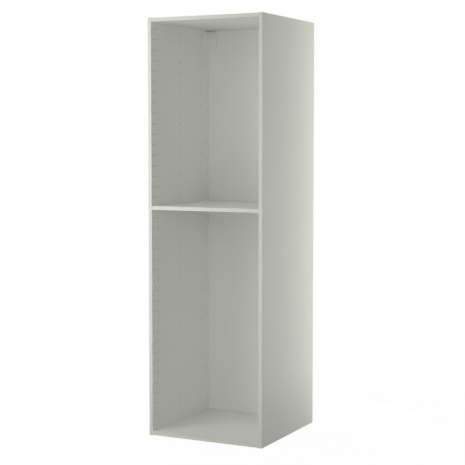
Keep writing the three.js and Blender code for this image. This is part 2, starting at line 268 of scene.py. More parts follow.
class Bench:
    """A node tree in the making."""

    def __init__(self, tree: bpy.types.NodeTree) -> None:
        """Starts on a shader or geometry tree."""
        self.tree = tree

    @classmethod
    def emptied(cls, owner: bpy.types.Material | bpy.types.World) -> Bench:
        """Empties the tree of a material or a world and starts on it.

        Args:
            owner: The material or the world.

        Returns:
            The bench.
        """
        owner.use_nodes = True
        owner.node_tree.nodes.clear()
        return cls(owner.node_tree)

    @staticmethod
    def socket(sockets: Sequence[bpy.types.NodeSocket], key: str | int) -> bpy.types.NodeSocket:
        """Finds a socket.

        Args:
            sockets: A node's inputs or outputs.
            key: The socket's number, its identifier, or its name.

        Returns:
            The socket.
        """
        if isinstance(key, int):
            return sockets[key]
        return next((s for s in sockets if s.identifier == key), None) or sockets[key]

    def node(
        self, kind: str, inputs: Mapping[str | int, object] | None = None, **settings: object
    ) -> Outlets:
        """Adds a node.

        Args:
            kind: The node's type.
            inputs: Values or wires for its sockets, by identifier, name or number.
            **settings: What is set first: the node's properties, and as stops its ramp's, each a
                place from 0 to 1 and a colour.

        Returns:
            The node's outputs.
        """
        made = self.tree.nodes.new(kind)
        for number, (place, colour) in enumerate(settings.pop("stops", ())):
            elements = made.color_ramp.elements
            element = elements[number] if number < len(elements) else elements.new(1.0)
            element.position = place
            element.color = (*colour, 1.0)
        for name, value in settings.items():
            setattr(made, name, value)
        for key, value in (inputs or {}).items():
            inlet = self.socket(made.inputs, key)
            if isinstance(value, Wire):
                self.tree.links.new(value.socket, inlet)
            else:
                inlet.default_value = value
        return Outlets(self, made)

    @cached_property
    def place(self) -> Wire:
        """The object coordinates."""
        return self.node("ShaderNodeTexCoord")["Object"]

    def scaled(self, grain: Grain) -> Wire:
        """Scales the object coordinates.

        Args:
            grain: The size that becomes 1.

        Returns:
            The scaled coordinates.
        """
        sizes = (grain,) * 3 if isinstance(grain, float) else grain
        inputs = {"Vector": self.place, "Scale": [1 / size for size in sizes]}
        return self.node("ShaderNodeMapping", inputs)["Vector"]

    def noise(self, grain: Grain, detail: float) -> Wire:
        """Adds a noise with so many finer layers, which stays near 0.5."""
        inputs = {"Vector": self.scaled(grain), "Scale": 1.0, "Detail": detail}
        return self.node("ShaderNodeTexNoise", inputs)["Fac"]

    def cells(self, grain: Grain) -> Outlets:
        """Adds a pattern of cells, for its Distance and its Color."""
        return self.node("ShaderNodeTexVoronoi", {"Vector": self.scaled(grain), "Scale": 1.0})

    def channel(self, colour: Wire, name: str) -> Wire:
        """Takes the Red, Green or Blue out of a colour."""
        return self.node("ShaderNodeSeparateColor", {"Color": colour})[name]

    def tint(self, share: Wire, first: Colour | Wire, second: Colour | Wire) -> Wire:
        """Mixes two colours.

        Args:
            share: How much of the second one there is.
            first: The colour at 0.
            second: The colour at 1.

        Returns:
            The mixed colour.
        """
        ends = [end if isinstance(end, Wire) else (*end, 1.0) for end in (first, second)]
        inputs = {"Factor_Float": share, "A_Color": ends[0], "B_Color": ends[1]}
        return self.node("ShaderNodeMix", inputs, data_type="RGBA")["Result_Color"]

    def relief(self, height: Wire, depth: float) -> Wire:
        """Turns a height pattern from 0 to 1, which is so many metres deep, into a normal."""
        inputs = {"Height": height, "Distance": depth, "Strength": 1.0}
        return self.node("ShaderNodeBump", inputs)["Normal"]


def srgb(red: int, green: int, blue: int) -> Colour:
    """Turns a written colour into the linear one that the shaders use.

    Args:
        red: From 0 to 255, as are the others.
        green: As red.
        blue: As red.

    Returns:
        The linear colour.
    """
    toe, toe_slope, lift, power = 0.04045, 12.92, 0.055, 2.4
    shares = (red / 255, green / 255, blue / 255)
    return tuple(s / toe_slope if s <= toe else ((s + lift) / (1 + lift)) ** power for s in shares)


@dataclass(frozen=True)
class Finish:
    """What a surface is made of. Each kind says how its colour, gloss and relief vary."""

    name: str
    colour: Colour
    roughness: float
    metallic: float = 0.0

    def shade(self, share: float) -> Colour:
        """The colour with its brightness times a share."""
        return tuple(min(1.0, channel * share) for channel in self.colour)

    def mottled(self, bench: Bench, pattern: Wire, shares: Point) -> Wire:
        """Mixes two shades of the colour, the first where a pattern is 0."""
        return bench.tint(pattern, *map(self.shade, shares))

    def surface(self, bench: Bench) -> tuple[Wire, Wire, Wire]:
        """Builds the surface's colour, what is added to its roughness, and its normal."""
        raise NotImplementedError

    def made(self) -> bpy.types.Material:
        """Builds the material.

        Returns:
            The new material.
        """
        material = bpy.data.materials.new(self.name)
        bench = Bench.emptied(material)
        colour, dulling, normal = self.surface(bench)
        inputs = {
            "Base Color": colour,
            "Metallic": self.metallic,
            "Roughness": self.roughness + dulling,
            "Normal": normal,
        }
        shader = bench.node("ShaderNodeBsdfPrincipled", inputs)
        bench.node("ShaderNodeOutputMaterial", {"Surface": shader["BSDF"]})
        material.diffuse_color = (*self.colour, 1.0)
        return material


@dataclass(frozen=True)
class Foil(Finish):
    """Melamine foil or lacquer on board: finely pearled, clouded a little, rubbed in places."""

    cloud: float = 0.14
    cloud_shades: Point = (0.988, 1.012)
    pearl: float = 0.0011
    pearl_depth: float = 0.00002
    pearl_gloss: float = 0.08
    rub_parts: tuple[int, int, int] = (9, 9, 3)
    rub_gloss: float = 0.16

    def surface(self, bench: Bench) -> tuple[Wire, Wire, Wire]:
        """Clouds the colour, dulls the rubbed places and pearls the skin.

        Args:
            bench: The material's tree.

        Returns:
            Its colour, what is added to its roughness, and its normal.
        """
        pearl = bench.noise(self.pearl, detail=1.0)
        rubbed = bench.noise([self.cloud / part for part in self.rub_parts], detail=4.0)
        colour = self.mottled(bench, bench.noise(self.cloud, detail=3.0), self.cloud_shades)
        dulling = rubbed.swing(self.rub_gloss) + pearl.swing(self.pearl_gloss)
        return colour, dulling, bench.relief(pearl, self.pearl_depth)


@dataclass(frozen=True)
class Banding(Finish):
    """Drawn plastic edge band: fine lines along its length over a smooth gloss."""

    along: Axis = Axis.Z
    line: float = 0.0005
    line_length: float = 0.09
    line_depth: float = 0.000012
    line_shades: Point = (0.985, 1.012)
    line_gloss: float = 0.14
    wear_gloss: float = 0.1

    def surface(self, bench: Bench) -> tuple[Wire, Wire, Wire]:
        """Draws the lines along the band and lets the gloss follow them.

        Args:
            bench: The material's tree.

        Returns:
            Its colour, what is added to its roughness, and its normal.
        """
        grain = [self.line_length if axis is self.along else self.line for axis in Axis]
        lines = bench.noise(grain, detail=3.0)
        worn = bench.noise(self.line_length, detail=2.0)
        colour = self.mottled(bench, lines, self.line_shades)
        dulling = lines.swing(self.line_gloss) + worn.swing(self.wear_gloss)
        return colour, dulling, bench.relief(lines, self.line_depth)


@dataclass(frozen=True)
class Chipboard(Finish):
    """The sawn core of a board: flakes of many browns with dark pores between them."""

    flake: float = 0.0031
    # Where each brown stands on the ramp, and its brightness as a share of the colour's.
    flake_shades: tuple[Point, ...] = ((0.12, 0.45), (0.36, 0.8), (0.6, 1.0), (0.84, 1.35))
    flake_share: float = 0.7
    flake_relief: float = 0.4
    fines: float = 0.0012
    pore_level: float = 0.42
    pore_contrast: float = 6.0
    pore_shade: float = 0.25
    pore_gloss: float = 0.2
    depth: float = 0.00025

    def surface(self, bench: Bench) -> tuple[Wire, Wire, Wire]:
        """Lays coarse flakes over fines and sinks the pores.

        Args:
            bench: The material's tree.

        Returns:
            Its colour, what is added to its roughness, and its normal.
        """
        flakes = bench.cells((self.flake, self.flake, self.flake / 2))
        fines = bench.cells(self.fines)
        pick = bench.channel(flakes["Color"], "Red") * self.flake_share
        pick += bench.channel(fines["Color"], "Green") * (1 - self.flake_share)
        stops = [(place, self.shade(share)) for place, share in self.flake_shades]
        browns = bench.node("ShaderNodeValToRGB", {"Fac": pick}, stops=stops)["Color"]
        pores = bench.noise(self.fines, detail=3.0)
        sunk = ((self.pore_level - pores) * self.pore_contrast).clipped()
        colour = bench.tint(sunk, browns, self.shade(self.pore_shade))
        height = flakes["Distance"] * self.flake_relief + pores * (1 - self.flake_relief)
        return colour, pores.swing(self.pore_gloss), bench.relief(height, self.depth)


@dataclass(frozen=True)
class Hardboard(Finish):
    """The bare face of thin fibreboard: matted brown fibres, smooth from the press."""

    fibre: float = 0.0006
    fibre_length: float = 0.006
    fibre_level: float = 0.32
    fibre_contrast: float = 1.6
    fibre_shade: float = 0.62
    fibre_gloss: float = 0.3
    patch: float = 0.05
    patch_shades: Point = (0.86, 1.14)
    depth: float = 0.00006

    def surface(self, bench: Bench) -> tuple[Wire, Wire, Wire]:
        """Mats two layers of fibres over slow patches of colour.

        Args:
            bench: The material's tree.

        Returns:
            Its colour, what is added to its roughness, and its normal.
        """
        upright = bench.noise((self.fibre, self.fibre, self.fibre_length), detail=2.0)
        level = bench.noise((self.fibre_length, self.fibre, self.fibre), detail=2.0)
        mat = (upright + level) / 2
        raised = (mat - self.fibre_level) * self.fibre_contrast
        ground = self.mottled(bench, bench.noise(self.patch, detail=4.0), self.patch_shades)
        colour = bench.tint(raised, self.shade(self.fibre_shade), ground)
        return colour, mat.swing(self.fibre_gloss), bench.relief(mat, self.depth)


@dataclass(frozen=True)
class Moulding(Finish):
    """Moulded or extruded plastic with the fine texture of its tool."""

    texture: float = 0.0005
    texture_depth: float = 0.00002
    texture_gloss: float = 0.1
    flow: float = 0.02
    flow_shades: Point = (0.982, 1.015)
    flow_gloss: float = 0.14

    def surface(self, bench: Bench) -> tuple[Wire, Wire, Wire]:
        """Roughens the skin finely and varies its gloss slowly along the flow.

        Args:
            bench: The material's tree.

        Returns:
            Its colour, what is added to its roughness, and its normal.
        """
        texture = bench.noise(self.texture, detail=2.0)
        flow = bench.noise((self.flow, self.flow, self.flow * 2), detail=3.0)
        colour = self.mottled(bench, flow, self.flow_shades)
        dulling = flow.swing(self.flow_gloss) + texture.swing(self.texture_gloss)
        return colour, dulling, bench.relief(texture, self.texture_depth)


@dataclass(frozen=True)
class Metal(Finish):
    """Zinc, plated or cast: patches of bluer and warmer grey, fine grain and dull spots."""

    metallic: float = 1.0
    patch: float = 0.006
    patch_gloss: float = 0.08
    cool_shade: float = 0.9
    warm_tint: Colour = (1.05, 1.0, 0.93)
    grain: float = 0.0004
    grain_depth: float = 0.00001
    grain_gloss: float = 0.12
    spot_level: float = 0.36
    spot_contrast: float = 8.0
    spot_shade: float = 0.6
    spot_dulling: float = 0.2

    def surface(self, bench: Bench) -> tuple[Wire, Wire, Wire]:
        """Tints the patches, dulls the spots and grains the surface.

        Args:
            bench: The material's tree.

        Returns:
            Its colour, what is added to its roughness, and its normal.
        """
        patches = bench.channel(bench.cells(self.patch)["Color"], "Blue")
        cloud = bench.noise(self.patch * 2, detail=3.0)
        grain = bench.noise(self.grain, detail=2.0)
        warm = tuple(min(1.0, own * tint) for own, tint in zip(self.colour, self.warm_tint))
        plated = bench.tint((patches + cloud) / 2, self.shade(self.cool_shade), warm)
        spots = ((self.spot_level - cloud) * self.spot_contrast).clipped()
        colour = bench.tint(spots, plated, self.shade(self.spot_shade))
        dulling = patches.swing(self.patch_gloss) + grain.swing(self.grain_gloss)
        return colour, dulling + spots * self.spot_dulling, bench.relief(grain, self.grain_depth)


@dataclass(frozen=True)
class Beech(Finish):
    """Beech turned along X: pale straight grain with short dark flecks."""

    ring: float = 0.0014
    ring_length: float = 0.03
    ring_shades: Point = (0.82, 1.16)
    ring_gloss: float = 0.18
    ring_relief: float = 0.6
    fleck: float = 0.0004
    fleck_length: float = 0.0026
    fleck_level: float = 0.6
    fleck_contrast: float = 8.0
    fleck_shade: float = 0.42
    depth: float = 0.00005

    def surface(self, bench: Bench) -> tuple[Wire, Wire, Wire]:
        """Draws the rings and the flecks along the grain.

        Args:
            bench: The material's tree.

        Returns:
            Its colour, what is added to its roughness, and its normal.
        """
        rings = bench.noise((self.ring_length, self.ring, self.ring), detail=3.0)
        flecks = bench.noise((self.fleck_length, self.fleck, self.fleck), detail=1.0)
        dark = ((flecks - self.fleck_level) * self.fleck_contrast).clipped()
        wood = self.mottled(bench, rings, self.ring_shades)
        colour = bench.tint(dark, wood, self.shade(self.fleck_shade))
        height = rings * self.ring_relief + flecks * (1 - self.ring_relief)
        return colour, rings.swing(self.ring_gloss), bench.relief(height, self.depth)


class Finishes:
    """Every material of the cabinet."""

    def __init__(self) -> None:
        """Builds the materials from their finishes."""
        band, zinc = srgb(211, 213, 202), srgb(164, 166, 168)
        self.foil = Foil("melamine_foil", srgb(232, 233, 228), 0.52).made()
        self.core = Chipboard("chipboard_core", srgb(158, 130, 98), 0.85).made()
        self.bore = Chipboard("drilled_core", srgb(98, 88, 74), 0.9).made()
        self.back_skin = Foil("back_lacquer", srgb(232, 232, 229), 0.58, pearl=0.0018).made()
        self.back_bare = Hardboard("bare_hardboard", srgb(139, 103, 70), 0.78).made()
        self.upright_band = Banding("upright_edge_band", band, 0.44).made()
        self.cross_band = Banding("cross_edge_band", band, 0.44, along=Axis.X).made()
        self.strip = Moulding("strip_plastic", srgb(230, 231, 226), 0.46, flow=0.05).made()
        self.cover = Moulding("cover_plastic", srgb(230, 231, 225), 0.42).made()
        self.steel = Metal("zinc_plated_steel", srgb(196, 199, 202), 0.34).made()
        self.cast = Metal("cast_zinc", zinc, 0.42, patch=0.0025, grain_depth=0.00003).made()
        self.beech = Beech("beech", srgb(206, 168, 122), 0.66).made()


def linked(name: str, data: bpy.types.ID) -> bpy.types.Object:
    """Makes an object in the scene.

    Args:
        name: The object's name.
        data: Its mesh, lamp or camera.

    Returns:
        The new object, at the origin.
    """
    made = bpy.data.objects.new(name, data)
    bpy.context.scene.collection.objects.link(made)
    return made


class Shape:
    """A closed mesh in the making."""

    def __init__(self) -> None:
        """Starts with nothing."""
        self.mesh = bmesh.new()

    def prism(self, outline: Sequence[Point], axis: Axis, start: float, end: float) -> Shape:
        """Adds an outline that is drawn out along an axis.

        Args:
            outline: Points in the other two axes, in their order.
            axis: The axis that it is drawn along.
            start: Where it starts on that axis.
            end: Where it ends.

        Returns:
            The shape itself.
        """
        rings = []
        for along in (start, end):
            places = [list(point) for point in outline]
            for place in places:
                place.insert(axis.value, along)
            rings.append([self.mesh.verts.new(place) for place in places])
        near, far = rings
        self.mesh.faces.new(near)
        self.mesh.faces.new(far)
        for number, corner in enumerate(near):
            self.mesh.faces.new((near[number - 1], corner, far[number], far[number - 1]))
        bmesh.ops.recalc_face_normals(self.mesh, faces=self.mesh.faces)
        return self

    def turned(
        self, profile: Sequence[Point], sides: int, relief: Callable[[float, float], float]
    ) -> Shape:
        """Adds a closed turned form along +X.

        Args:
            profile: Radius and place along X of each ring, with both ends on the axis.
            sides: How many faces go round it.
            relief: What is added to the radius at an angle and a place along X.

        Returns:
            The shape itself.
        """
        rings = []
        for radius, along in profile[1:-1]:
            ring = []
            for side in range(sides):
                angle = 2 * math.pi * side / sides
                reach = radius + relief(angle, along)
                place = (along, reach * math.cos(angle), reach * math.sin(angle))
                ring.append(self.mesh.verts.new(place))
            rings.append(ring)
        for near, far in zip(rings, rings[1:]):
            for side in range(sides):
                self.mesh.faces.new((near[side - 1], near[side], far[side], far[side - 1]))
        for (_, along), ring in ((profile[0], rings[0]), (profile[-1], rings[-1])):
            tip = self.mesh.verts.new((along, 0.0, 0.0))
            for side in range(sides):
                self.mesh.faces.new((tip, ring[side - 1], ring[side]))
        bmesh.ops.recalc_face_normals(self.mesh, faces=self.mesh.faces)
        return self

    def eased(
        self,
        radius: float,
        segments: int,
        planes: Sequence[Plane],
        least: int = 1,
        but: Sequence[Plane] = (),
    ) -> Shape:
        """Rounds the edges that lie on planes.

        Args:
            radius: How far the rounding reaches from an edge.
            segments: How many faces it has.
            planes: The planes.
            least: On how many of them an edge has to lie.
            but: Planes whose edges stay sharp.

        Returns:
            The shape itself.
        """
        chosen = [
            edge
            for edge in self.mesh.edges
            if sum(plane.holds(edge) for plane in planes) >= least
            and not any(plane.holds(edge) for plane in but)
        ]
        bmesh.ops.bevel(
            self.mesh,
            geom=chosen,
            offset=radius,
            segments=segments,
            profile=0.5,
            affect="EDGES",
            clamp_overlap=True,
        )
        return self

    def placed(self, name: str, *materials: bpy.types.Material) -> bpy.types.Object:
        """Ends the making.

        Args:
            name: The object's name.
            materials: Its materials, the main one first.

        Returns:
            A new object at the origin.
        """
        data = bpy.data.meshes.new(name)
        self.mesh.to_mesh(data)
        self.mesh.free()
        for material in materials:
            data.materials.append(material)
        return linked(name, data)


def block(low: Sequence[float], high: Sequence[float]) -> Shape:
    """A rectangular block between its lowest and its highest corner."""
    outline = [(low[0], low[1]), (high[0], low[1]), (high[0], high[1]), (low[0], high[1])]
    return Shape().prism(outline, Axis.Z, low[2], high[2])


def arc(centre: Point, radius: float, start: float, end: float, steps: int) -> list[Point]:
    """Points on an arc of so many chords from one angle in degrees to another, both included."""
    angles = [math.radians(start + (end - start) * step / steps) for step in range(steps + 1)]
    return [(centre[0] + radius * math.cos(a), centre[1] + radius * math.sin(a)) for a in angles]


def stadium(centre: Point, width: float, height: float, steps: int) -> list[Point]:
    """The outline of an upright slot with round ends.

    Args:
        centre: Its middle.
        width: Its width.
        height: Its height.
        steps: How many chords each end has.

    Returns:
        The points.
    """
    x, z = centre
    straight, radius = (height - width) / 2, width / 2
    upper = arc((x, z + straight), radius, 0, 180, steps)
    return upper + arc((x, z - straight), radius, 180, 360, steps)


def rod(
    radius: float, axis: Axis, across: Point, start: float, end: float, sides: int = 24
) -> Shape:
    """A round rod along an axis, whose centre is at a point across it."""
    return Shape().prism(arc(across, radius, 0, 360, sides)[:-1], axis, start, end)


def cross_recess(reach: float, width: float, axis: Axis, start: float, end: float) -> list[Shape]:
    """The two bars of a cross recess.

    Args:
        reach: The length of each bar.
        width: Its width.
        axis: The axis that the recess is sunk along.
        start: Where the bars start on it.
        end: Where they end.

    Returns:
        One shape for each bar.
    """
    bars = []
    for first, second in ((reach / 2, width / 2), (width / 2, reach / 2)):
        outline = [(-first, -second), (first, -second), (first, second), (-first, second)]
        bars.append(Shape().prism(outline, axis, start, end))
    return bars


def settle(piece: bpy.types.Object) -> None:
    """Turns a piece's modifiers into plain mesh.

    Args:
        piece: The object, whose mesh is replaced.
    """
    graph = bpy.context.evaluated_depsgraph_get()
    before = piece.data
    piece.data = bpy.data.meshes.new_from_object(piece.evaluated_get(graph))
    piece.modifiers.clear()
    piece.data.name = piece.name
    bpy.data.meshes.remove(before)


def discard(helpers: Iterable[bpy.types.Object]) -> None:
    """Removes helper objects and their meshes.

    Args:
        helpers: The objects.
    """
    for helper in helpers:
        data = helper.data
        bpy.data.objects.remove(helper)
        bpy.data.meshes.remove(data)


def work(piece: bpy.types.Object, tools: Iterable[Shape], working: Working) -> None:
    """Cuts tools out of a piece, or joins them to it.

    Args:
        piece: The object that is worked.
        tools: The shapes that work it.
        working: Whether they cut or join.
    """
    helpers = [tool.placed(f"{piece.name}_tool") for tool in tools]
    for helper in helpers:
        modifier = piece.modifiers.new("work", "BOOLEAN")
        modifier.solver = "EXACT"
        modifier.operation = working.value
        modifier.object = helper
    settle(piece)
    discard(helpers)


def smooth(piece: bpy.types.Object, angle: float = 32.0) -> None:
    """Shades a piece smooth but for the edges that turn by more than an angle in degrees."""
    piece.data.shade_smooth()
    piece.data.set_sharp_from_angle(angle=math.radians(angle))


def marks(
    name: str, places: Sequence[Vector], turns: Sequence[float] | None = None
) -> bpy.types.Object:
    """Marks places with single vertices.

    Args:
        name: The object's name.
        places: Where the marks are.
        turns: The turn about Z at each mark, in radians.

    Returns:
        The object that holds the marks.
    """
    data = bpy.data.meshes.new(name)
    data.from_pydata([tuple(place) for place in places], [], [])
    if turns is not None:
        turned = data.attributes.new("turn", "FLOAT_VECTOR", "POINT")
        for mark, turn in zip(turned.data, turns):
            mark.vector = (0.0, 0.0, turn)
    return linked(name, data)


class Recipe:
    """A geometry tree with named inputs, which modifiers share."""

    def __init__(self, name: str, inputs: Mapping[str, str]) -> None:
        """Builds the tree.

        Args:
            name: The tree's name.
            inputs: The type of each input after the geometry, by name.
        """
        self.tree = bpy.data.node_groups.new(name, "GeometryNodeTree")
        for way in ("OUTPUT", "INPUT"):
            self.add_socket("Geometry", "Geometry", way)
        self.sockets = {label: self.add_socket(label, kind) for label, kind in inputs.items()}
        self.bench = Bench(self.tree)
        self.given = self.bench.node("NodeGroupInput")
        self.bench.node("NodeGroupOutput", {"Geometry": self.result()})

    def add_socket(self, label: str, kind: str, way: str = "INPUT") -> str:
        """Adds a socket to the tree and tells its identifier."""
        new_socket = self.tree.interface.new_socket
        return new_socket(label, in_out=way, socket_type=f"NodeSocket{kind}").identifier

    def result(self) -> Wire:
        """Builds the tree between its input and its output, and gives its geometry."""
        raise NotImplementedError

    def apply(self, piece: bpy.types.Object, values: Mapping[str, object]) -> None:
        """Adds the tree to a piece as a modifier.

        Args:
            piece: The object that gets it.
            values: A value for each of the tree's inputs, by name.
        """
        modifier = piece.modifiers.new(self.tree.name, "NODES")
        modifier.node_group = self.tree
        for label, value in values.items():
            modifier[self.sockets[label]] = value


class Drilling(Recipe):
    """Bores rows of blind holes: every mark starts a row of places, and each gets one hole."""

    def __init__(self) -> None:
        """Builds the tree."""
        super().__init__(
            "drilling",
            {
                "Marks": "Object",
                "Rows": "Int",
                "Row Step": "Vector",
                "Radius": "Float",
                "Depth": "Float",
                "Overrun": "Float",
                "Direction": "Vector",
                "Sides": "Int",
                "Core": "Material",
            },
        )

    def result(self) -> Wire:
        """Sets a bit out on the rows, cuts it from the board and gives the bores the core.

        Returns:
            The drilled board.
        """
        node, given = self.bench.node, self.given
        starts = node("GeometryNodeObjectInfo", {"Object": given["Marks"]})["Geometry"]
        line = {"Count": given["Rows"], "Offset": given["Row Step"]}
        row = node("GeometryNodeMeshLine", line, mode="OFFSET")["Mesh"]
        rows = node("GeometryNodeInstanceOnPoints", {"Points": starts, "Instance": row})
        places = node("GeometryNodeRealizeInstances", {"Geometry": rows["Instances"]})["Geometry"]

        length = given["Depth"] + given["Overrun"]
        sizes = {"Vertices": given["Sides"], "Radius": given["Radius"], "Depth": length}
        bit = node("GeometryNodeMeshCylinder", sizes)["Mesh"]
        sunk = node("ShaderNodeCombineXYZ", {"Z": (given["Depth"] - given["Overrun"]) / 2})
        seat = {"Geometry": bit, "Translation": sunk["Vector"]}
        seated = node("GeometryNodeTransform", seat)["Geometry"]
        finish = {"Geometry": seated, "Material": given["Core"]}
        cored = node("GeometryNodeSetMaterial", finish)["Geometry"]

        way = {"Vector": given["Direction"]}
        aim = node("FunctionNodeAlignRotationToVector", way, axis="Z")["Rotation"]
        set_out = {"Points": places, "Instance": cored, "Rotation": aim}
        bits = node("GeometryNodeInstanceOnPoints", set_out)["Instances"]
        tools = node("GeometryNodeRealizeInstances", {"Geometry": bits})["Geometry"]
        both = {"Mesh 1": given["Geometry"], "Mesh 2": tools}
        return node("GeometryNodeMeshBoolean", both, operation="DIFFERENCE", solver="EXACT")["Mesh"]


class SettingOut(Recipe):
    """Sets a copy of one fitting on every mark."""

    def __init__(self) -> None:
        """Builds the tree."""
        super().__init__("setting_out", {"Pattern": "Object", "Finish": "Material"})

    def result(self) -> Wire:
        """Copies the pattern to each mark, turned as the mark says.

        Returns:
            The copies.
        """
        node, given = self.bench.node, self.given
        pattern = node("GeometryNodeObjectInfo", {"Object": given["Pattern"]})["Geometry"]
        name = {"Name": "turn"}
        turn = node("GeometryNodeInputNamedAttribute", name, data_type="FLOAT_VECTOR")["Attribute"]
        facing = node("FunctionNodeEulerToRotation", {"Euler": turn})["Rotation"]
        set_out = {"Points": given["Geometry"], "Instance": pattern, "Rotation": facing}
        copies = node("GeometryNodeInstanceOnPoints", set_out)["Instances"]
        solid = node("GeometryNodeRealizeInstances", {"Geometry": copies})["Geometry"]
        finish = {"Geometry": solid, "Material": given["Finish"]}
        return node("GeometryNodeSetMaterial", finish)["Geometry"]


class Workshop:
    """The materials and trees that every sub-assembly uses."""

    def __init__(self) -> None:
        """Builds them once."""
        self.finishes = Finishes()
        self.drilling = Drilling()
        self.setting_out = SettingOut()

    def drill(
        self,
        board: bpy.types.Object,
        places: Sequence[Vector],
        direction: Sequence[float],
        radius: float,
        depth: float,
        rows: int = 1,
        row_step: Sequence[float] = (0.0, 0.0, 0.0),
        sides: int = 20,
    ) -> None:
        """Bores blind holes into a board.

        Args:
            board: The board.
            places: The first place of each row, on the board's face.
            direction: The way that the holes go in.
            radius: The holes' radius.
            depth: Their depth.
            rows: How many places a row has.
            row_step: The step from one place to the next.
            sides: How many faces go round a hole.
        """
        starts = marks(f"{board.name}_marks", places)
        self.drilling.apply(
            board,
            {
                "Marks": starts,
                "Rows": rows,
                "Row Step": row_step,
                "Radius": radius,
                "Depth": depth,
                "Overrun": OVERRUN,
                "Direction": direction,
                "Sides": sides,
                "Core": self.finishes.bore,
            },
        )
        settle(board)
        discard([starts])

    def set_out(
        self,
        name: str,
        pattern: bpy.types.Object,
        places: Sequence[Vector],
        turns: Sequence[float],
        finish: bpy.types.Material,
    ) -> bpy.types.Object:
        """Makes one piece of many equal fittings.

        Args:
            name: The piece's name.
            pattern: The fitting, along +X from its place, which is used up.
            places: Where the fittings go.
            turns: The turn of each about Z, in radians.
            finish: Their material.

        Returns:
            The piece.
        """
        piece = marks(name, places, turns)
        self.setting_out.apply(piece, {"Pattern": pattern, "Finish": finish})
        settle(piece)
        discard([pattern])
        return piece


def fit(piece: bpy.types.Object, body: str, slot: str, *nodes: str) -> None:
    """Puts a finished piece in the place of its nodes.

    Args:
        piece: The finished piece.
        body: The body that it rides on.
        slot: The record's material slot.
        nodes: The nodes that it stands for.
    """
    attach(piece, body)
    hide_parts(*nodes)
    faces = len(piece.data.polygons)
    log.info("%s rides on %s for %d nodes, %d faces", piece.name, body, len(nodes), faces)


@dataclass
class Assembly:
    """A sub-assembly of the cabinet. Its fields after the workshop are its sizes."""

    shop: Workshop

    def build(self) -> None:
        """Makes the pieces and fits them."""
        raise NotImplementedError


